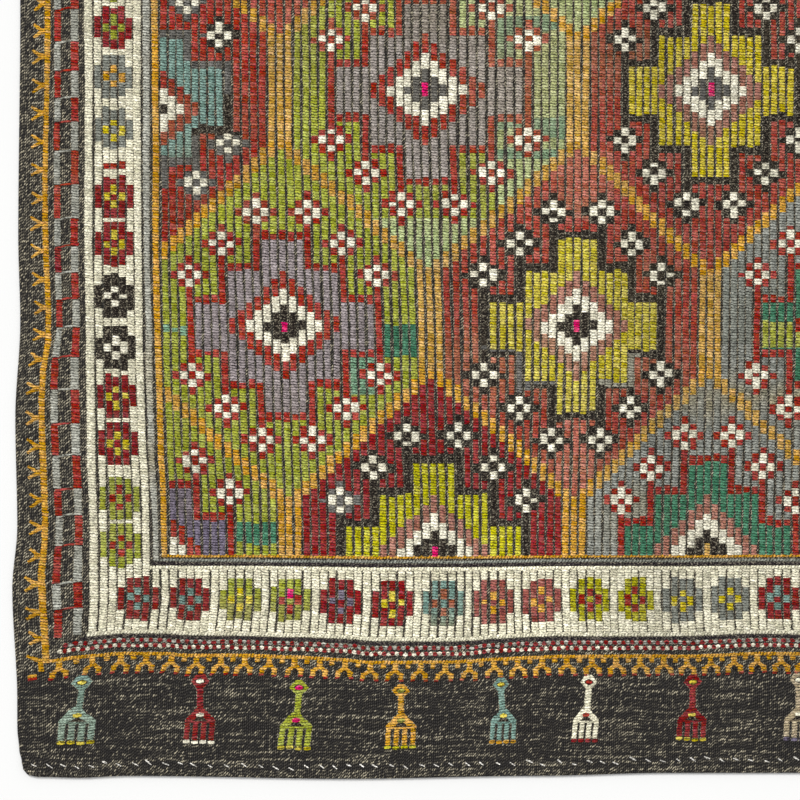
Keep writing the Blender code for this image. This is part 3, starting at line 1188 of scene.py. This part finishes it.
class RUG_OT_ribs(Operator):
    """Weaves the ribs of the field and its white borders, in strips"""

    bl_idname = "rug.ribs"
    bl_label = "Ribs"

    def execute(self, context):
        colours, sizes, _ = settings(context)
        chart = whole_chart()
        dyer = Dyer(colours, sizes.fading, 41)
        for number, columns in enumerate(np.array_split(np.arange(COLUMNS), sizes.strips)):
            skein = Skein(100 + number, dyer)
            for column in columns:
                weave_rib(skein, column - SIDE_RIBS, chart[column], sizes)
            yarn_piece(context, f"ribs_{number + 1:02d}", skein)
        return {"FINISHED"}


# v where the two bars of a side guard change colour, in the lower left corner.
BAR_CHANGES = (
    141, 169, 194, 231, 261, 288, 321, 353, 387, 419, 449, 477, 504, 530, 558, 592,
    626, 655, 679, 706, 735, 767,
)


def bar_changes(random):
    """Places along the whole rug where the two bars of a side guard change colour."""
    places = list(BAR_CHANGES)
    while places[-1] < LENGTH - 172:
        places.append(places[-1] + random.uniform(25, 35))
    places[-1] = LENGTH - BAR_CHANGES[0]
    return places


class RUG_OT_side_guards(Operator):
    """Makes the forked line and the pair of broken bars along each selvedge"""

    bl_idname = "rug.side_guards"
    bl_label = "Side guards"

    def execute(self, context):
        colours, sizes, _ = settings(context)
        for name, turned, seed in (("guard_left", False, 7), ("guard_right", True, 8)):
            skein = Skein(seed, Dyer(colours, sizes.fading * 0.5, seed))
            skein.turned = turned
            self.forked_line(skein)
            self.broken_bars(skein)
            yarn_piece(context, name, skein)
        return {"FINISHED"}

    def forked_line(self, skein):
        """An ochre bar with forks that open towards the selvedge."""
        v = np.linspace(118, LENGTH - 118, 90)
        u = 28.4 + 0.7 * np.sin(v / 53)
        width = 7.8 + skein.random.normal(0, 0.3, len(v))
        skein.stroke("ochre", np.stack([u, v], axis=1), width)
        place = 141.0
        while place < LENGTH - 135:
            spread = skein.random.uniform(5.6, 7.0)
            reach = skein.random.uniform(13, 15.5)
            lean = skein.random.normal(0.4, 0.7)
            for way in (-1, 1):
                points = [
                    (27, place + lean * 0.5),
                    (22, place + way * 1.2 + lean * 0.5),
                    (reach + 4, place + way * spread * 0.6 + lean),
                    (reach, place + way * spread + lean),
                ]
                skein.stroke("ochre", points, [6.0, 5.2, 4.4, 3.4], lift=0.1)
            place += skein.random.uniform(24, 30)

    def broken_bars(self, skein):
        """Two bars that change places between red and blue-grey, with linking lines."""
        places = bar_changes(skein.random)
        for number, (low, high) in enumerate(zip(places[:-1], places[1:])):
            left, right = ("smoke", "madder") if number % 2 else ("madder", "smoke")
            if left == "madder" and number % 7 == 5:  # now and then a deeper red
                left = "wine"
            skein.block(left, 39.8, 8.4, low + 0.8, high - 1.8)
            skein.block(right, 57.0, 9.2, low + 1.2, high + 0.4)
            if number:
                slope = skein.random.uniform(2.0, 4.5)
                points = [(37.5, low - 1.2), (48, low - 1.2 + slope * 0.7), (61, low - 1 + slope)]
                skein.stroke(right, points, [3.2, 2.6, 3.2], lift=0.25)


class RUG_OT_end_bands(Operator):
    """Makes the lines, bead rows and hooks across each end"""

    bl_idname = "rug.end_bands"
    bl_label = "End bands"

    def execute(self, context):
        colours, sizes, _ = settings(context)
        skein = Skein(21, Dyer(colours, sizes.fading * 0.45, 22))
        for turned in (False, True):
            skein.turned = turned
            self.lines(skein)
            self.bead_rows(skein)
            self.corner(skein)
            self.hooks(skein)
        yarn_piece(context, "end_bands", skein)
        return {"FINISHED"}

    def lines(self, skein):
        """Plied lines that close the field and the white border."""
        for name, v, width, inset in (
            ("ochre", 220.6, 4.0, 136),
            ("steel", 216.0, 3.4, 127),
            ("night", 212.5, 4.2, 125),
            ("ivory", 208.6, 4.8, 122),
            ("ivory", 141.9, 5.0, 66),
            ("night", 137.5, 3.4, 60),
            ("ochre", 119.6, 4.4, 27),
        ):
            u = np.linspace(inset, WIDTH - inset, 150)
            drift = 0.25 * np.sin(u / 31 + v)
            skein.stroke(name, np.stack([u, v + drift], axis=1), width, twist=1.0)

    def bead_rows(self, skein):
        """Two rows of short stitches under the white border, in two yarns by turns."""
        bead = 5.8
        for u, v, names, step in (
            (47.0, 133.0, ("wine", "smoke"), 4.4),
            (42.0, 127.4, ("white", "wine"), 4.25),
        ):
            number = 0
            while u < WIDTH - 50:
                name = names[number % 2]
                half = skein.random.uniform(2.4, 3.1)
                level = v + skein.random.normal(0, 0.3) + 0.4
                tall = bead if name == "wine" else bead * 0.88
                points = [(u - half, level), (u, level), (u + half, level)]
                skein.stroke(name, points, [tall * 0.4, tall, tall * 0.4])
                u += step * skein.random.uniform(0.92, 1.1)
                number += 1

    def corner(self, skein):
        """The fork and the two dots where the ochre line meets the side guard."""
        for v, name in ((104.6, "ochre"), (101.8, "madder")):
            skein.stroke(name, [(11, v - 1), (15.5, v), (20, v + 1)], [3, 5, 3])
        skein.stroke("ochre", [(30, 119.5), (19, 121.5), (11, 125)], [5, 4.6, 3.2])
        skein.block("ochre", 23.5, 6.4, 109.5, 119)

    def hooks(self, skein):
        """Forked hooks hanging from the ochre line, red at their tips.

        The first stand 31 mm apart, and the rest 24 to 25 mm.
        """
        u = 41.0
        step = 31.5
        while u < WIDTH - 36:
            middle = u + skein.random.normal(0, 0.3)
            skein.block("ochre", u, 7.4, 110.5, 119)
            saddle = [(u, 113), (middle, 110.8), (middle, 109.4), (middle, 106.8)]
            skein.stroke("ochre", saddle, [7.4, 9, 15, 18.6])
            for way in (-1, 1):
                leg = middle + way * 6.4
                foot = skein.random.normal(102.2, 0.4)
                skein.block("ochre", leg, 6.6, foot, 108.2, lift=0.1)
                skein.block("madder", leg + way * 0.6, 5.8, foot - 2.2, foot + 0.2)
            nick = [(middle, 109.6), (middle, 107.6), (middle, 104.5)]
            skein.stroke("black", nick, [3, 6.4, 7.4], lift=0.2)
            skein.block("ochre", u + step / 2, 6.6, 113.6, 118.6)
            u += step
            step = max(step - 3.5, 24.9 if u < 560 else 23.7) + skein.random.normal(0, 0.4)


class RUG_OT_combs(Operator):
    """Makes the row of small combs on each end panel"""

    bl_idname = "rug.combs"
    bl_label = "Combs"

    def execute(self, context):
        colours, sizes, _ = settings(context)
        skein = Skein(31, Dyer(colours, sizes.fading * 0.4, 32))
        for turned in (False, True):
            skein.turned = turned
            for lap in range(int(WIDTH / COMB_REPEAT)):
                for u, *shape in COMBS:
                    self.comb(skein, u + lap * COMB_REPEAT, *shape)
        yarn_piece(context, "combs", skein)
        return {"FINISHED"}

    def comb(self, skein, u, v, breadth, lean, body, dots, tips):
        """One comb: a diamond head with a dot, a neck, sloping shoulders and four teeth."""
        sway = skein.random.normal(0, 0.5, 6)
        wide = 0.25 + 0.75 * breadth
        head = [(u, v + 7.4), (u, v + 5), (u, v), (u, v - 4), (u, v - 7)]
        skein.stroke(body, head, np.array([9, 15, 24.5, 16, 8]) * wide)
        hollow = [(u - 6.4 * wide, v), (u, v), (u + 6.4 * wide, v)]
        skein.stroke("black", hollow, [3, 8.6, 3], lift=0.3)
        dot = [(u - 4.3 * wide, v - 0.5), (u, v), (u + 4.3 * wide, v + 0.5)]
        skein.stroke(dots, dot, [3.4, 6.4, 3.4], lift=0.75)
        neck = u + lean * 0.6
        skein.stroke(body, [(u, v - 5), (neck, v - 26)], 7.8)
        u = u + lean
        flare = [(neck, v - 25), (u, v - 29), (u, v - 33.5), (u, v - 37.5), (u, v - 40.4)]
        skein.stroke(body, flare, np.array([10, 20, 32, 42, 42.5]) * breadth)
        hollow = [(u, v - 33), (u, v - 35), (u, v - 37), (u, v - 38.6)]
        skein.stroke("black", hollow, np.array([5, 12, 21, 30]) * breadth, lift=0.15)
        dot = [(u - 4.6 * wide, v - 32.9), (u, v - 32.4), (u + 4.6 * wide, v - 32)]
        skein.stroke(dots, dot, [3.4, 6.2, 3.4], lift=0.75)
        for tooth in range(4):
            at = u + (tooth - 1.5) * 10.7 * breadth
            bottom = (at + sway[5] - 0.3 * (3 - lean), v - 57 + sway[tooth + 1])
            skein.stroke(body, [(at, v - 39.8), bottom], 8.6 * breadth)
            at, tip = bottom[0], bottom[1] - 2.2
            points = [(at - 4.2 * breadth, tip - 0.3), (at, tip), (at + 4.4 * breadth, tip + 0.3)]
            skein.stroke(tips, points, [3.4, 5.2, 3.4])


class RUG_OT_hem_stitches(Operator):
    """Sews the white stitches along each hem"""

    bl_idname = "rug.hem_stitches"
    bl_label = "Hem stitches"

    def execute(self, context):
        skein = Skein(51, Dyer(settings(context)[0], 0.1, 52))
        for turned in (False, True):
            skein.turned = turned
            u = 12.0
            while u < WIDTH - 12:
                v = 12.6 + skein.random.normal(0, 1.3)
                half = skein.random.uniform(2.2, 3.5)
                drop = half * skein.random.uniform(0.3, 0.8)
                points = [(u - half, v + drop), (u, v), (u + half, v - drop)]
                skein.stroke("thread", points, [1.8, 2.4, 1.8], twist=1.0, lift=1.6)
                u += skein.random.uniform(12.5, 17.5)
        yarn_piece(context, "hem_stitches", skein, sides=3, slot="hem_thread")
        return {"FINISHED"}


class RUG_OT_stage(Operator):
    """Sets the pale floor, the soft light and the overhead camera"""

    bl_idname = "rug.stage"
    bl_label = "Stage"

    def execute(self, context):
        studio = settings(context)[2]
        self.floor(context, studio)
        self.light(context, studio)
        self.camera(context, studio)
        return {"FINISHED"}

    def floor(self, context, studio):
        """A wide sheet just under the rug."""
        reach = 14.0
        cuts = 8
        step = np.linspace(-reach, reach, cuts + 1)
        points = [(x, y, -FLOOR_GAP) for x in step for y in step]
        faces = []
        for i in range(cuts):
            for j in range(cuts):
                corner = i * (cuts + 1) + j
                faces.append((corner, corner + cuts + 1, corner + cuts + 2, corner + 1))
        mesh = bpy.data.meshes.new("floor")
        mesh.from_pydata(points, [], faces)
        mesh.materials.append(floor_paint(studio.floor))
        floor = bpy.data.objects.new("floor", mesh)
        context.scene.collection.objects.link(floor)

    def light(self, context, studio):
        """An even white surround and one broad, soft light from the upper left."""
        world = bpy.data.worlds.new("studio_surround")
        world.use_nodes = True
        sky = world.node_tree.nodes["Background"]
        sky.inputs["Color"].default_value = (1, 1, 1, 1)
        sky.inputs["Strength"].default_value = studio.sky_strength
        context.scene.world = world
        key = bpy.data.lights.new("key_light", "SUN")
        key.energy = studio.sun_strength
        key.angle = 0.35
        lamp = bpy.data.objects.new("key_light", key)
        lamp.rotation_euler = (np.radians(-32), np.radians(-26), 0)
        context.scene.collection.objects.link(lamp)
        context.scene.view_settings.view_transform = "Standard"

    def camera(self, context, studio):
        """A long lens straight above the lower left corner of the rug."""
        lens = bpy.data.cameras.new("camera")
        lens.lens = studio.lens
        lens.sensor_width = 36.0
        lens.clip_end = 100
        camera = bpy.data.objects.new("camera", lens)
        distance = studio.view_width * studio.lens / lens.sensor_width
        x = (VIEW_U + CENTRE_U) * 0.001
        y = (VIEW_V + CENTRE_V) * 0.001
        camera.location = (x, y, distance + (RIB_FOOT + RIB_RISE) * 0.001)
        context.scene.collection.objects.link(camera)
        context.scene.camera = camera


class RUG_PT_panel(Panel):
    """Lists the rug's pieces, sizes and colours"""

    bl_idname = "RUG_PT_panel"
    bl_label = "Jajim rug"
    bl_space_type = "VIEW_3D"
    bl_region_type = "UI"
    bl_category = "Jajim rug"

    def draw(self, context):
        layout = self.layout
        for operator in OPERATORS:
            layout.operator(operator.bl_idname)
        for group in settings(context):
            box = layout.box()
            for name in group.bl_rna.properties.keys():
                if name not in ("rna_type", "name"):
                    box.prop(group, name)


OPERATORS = (
    RUG_OT_ground_cloth,
    RUG_OT_ribs,
    RUG_OT_side_guards,
    RUG_OT_end_bands,
    RUG_OT_combs,
    RUG_OT_hem_stitches,
    RUG_OT_stage,
)
CLASSES = (YarnColours, WeaveSizes, StudioSettings) + OPERATORS + (RUG_PT_panel,)


def register():
    for made in CLASSES:
        bpy.utils.register_class(made)
    bpy.types.Scene.rug_colours = PointerProperty(type=YarnColours)
    bpy.types.Scene.rug_sizes = PointerProperty(type=WeaveSizes)
    bpy.types.Scene.rug_studio = PointerProperty(type=StudioSettings)


def unregister():
    del bpy.types.Scene.rug_studio
    del bpy.types.Scene.rug_sizes
    del bpy.types.Scene.rug_colours
    for made in reversed(CLASSES):
        bpy.utils.unregister_class(made)


def main():
    register()
    for operator in OPERATORS:
        family, name = operator.bl_idname.split(".")
        getattr(getattr(bpy.ops, family), name)()
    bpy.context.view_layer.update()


if __name__ == "__main__":
    main()
